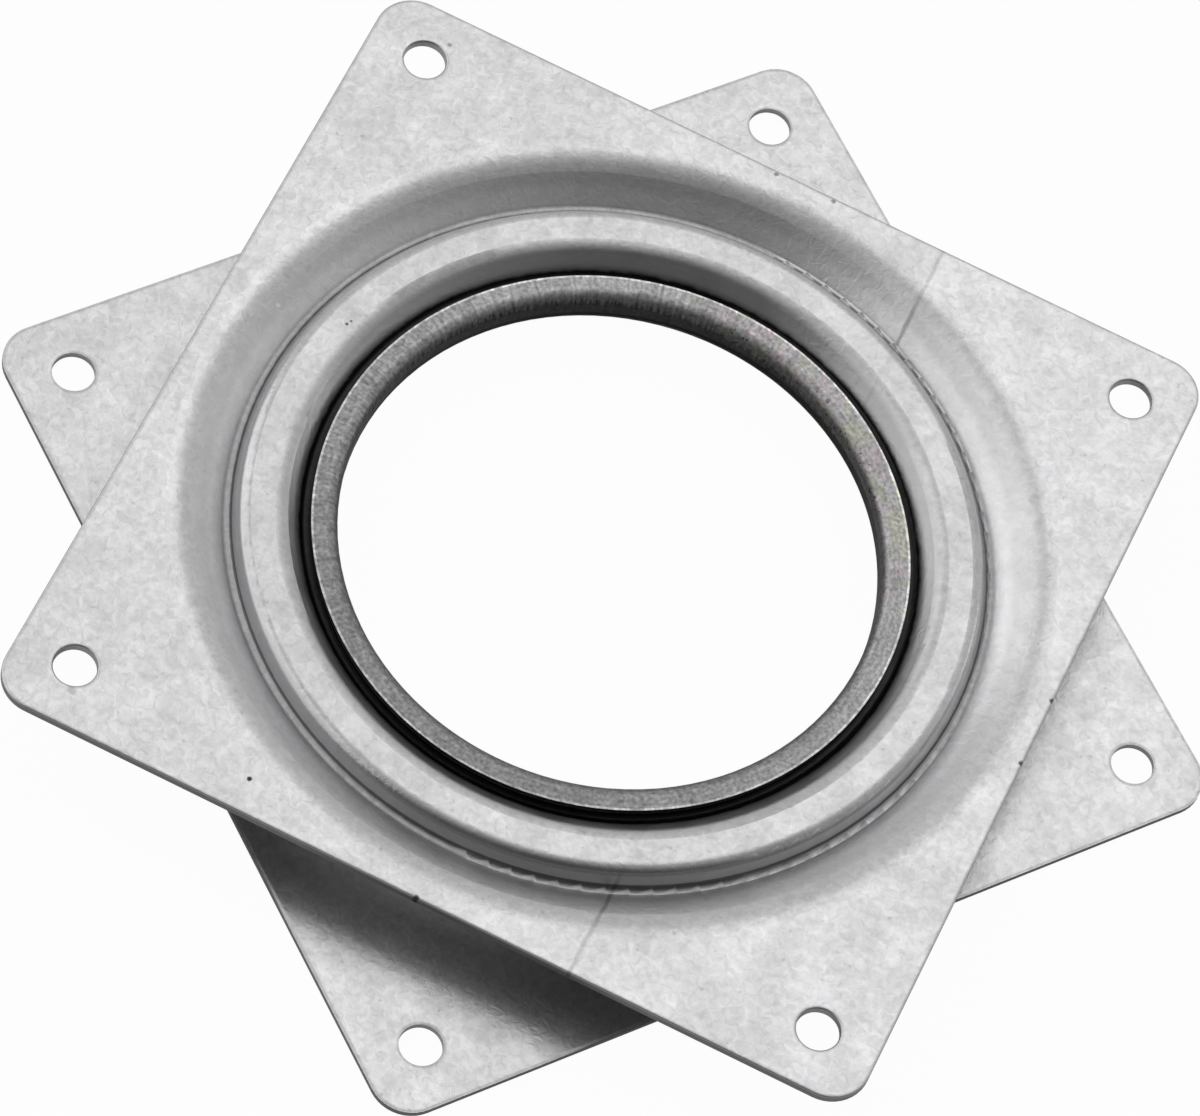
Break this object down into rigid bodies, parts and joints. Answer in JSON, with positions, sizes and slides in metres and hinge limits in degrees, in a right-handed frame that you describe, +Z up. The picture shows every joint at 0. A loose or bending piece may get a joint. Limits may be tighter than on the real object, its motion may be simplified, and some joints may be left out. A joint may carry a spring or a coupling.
{
  "type": "lazy susan bearing",
  "caption": "Flat square turntable bearing whose pressed steel plates turn on a hidden ring of balls around an open centre.",
  "frame": {"origin": "centre of the lower plate's underside, on the turning axis", "axes": "+Z up the turning axis from the lower plate to the upper plate; +X and +Y square to the lower plate's sides"},
  "size_m": [0.1392, 0.1392, 0.01],
  "materials": {
    "galvanised_sheet": "dull zinc-coated sheet, as pressed",
    "ball_steel": "polished hardened steel"
  },
  "bodies": {
    "lower_plate": {"lower_plate": "galvanised_sheet"},
    "upper_plate": {"upper_plate": "galvanised_sheet"},
    "ball_ring": {"ball_01": "ball_steel", "ball_02": "ball_steel", "ball_03": "ball_steel", "ball_04": "ball_steel", "ball_05": "ball_steel", "ball_06": "ball_steel", "ball_07": "ball_steel", "ball_08": "ball_steel", "ball_09": "ball_steel", "ball_10": "ball_steel", "ball_11": "ball_steel", "ball_12": "ball_steel", "ball_13": "ball_steel", "ball_14": "ball_steel", "ball_15": "ball_steel", "ball_16": "ball_steel", "ball_17": "ball_steel", "ball_18": "ball_steel", "ball_19": "ball_steel", "ball_20": "ball_steel", "ball_21": "ball_steel", "ball_22": "ball_steel", "ball_23": "ball_steel", "ball_24": "ball_steel", "ball_25": "ball_steel", "ball_26": "ball_steel", "ball_27": "ball_steel", "ball_28": "ball_steel", "ball_29": "ball_steel", "ball_30": "ball_steel", "ball_31": "ball_steel", "ball_32": "ball_steel", "ball_33": "ball_steel", "ball_34": "ball_steel", "ball_35": "ball_steel", "ball_36": "ball_steel"}
  },
  "joints": [
    {"name": "plate_spin", "type": "hinge", "parent": "lower_plate", "child": "upper_plate", "pos_m": [0, 0, 0.005], "axis": [0, 0, 1], "continuous": true},
    {"name": "ball_orbit", "type": "hinge", "parent": "lower_plate", "child": "ball_ring", "pos_m": [0, 0, 0.005], "axis": [0, 0, 1], "continuous": true}
  ],
  "couplings": [
    {"joint": "ball_orbit", "follows": "plate_spin", "ratio": 0.5}
  ]
}
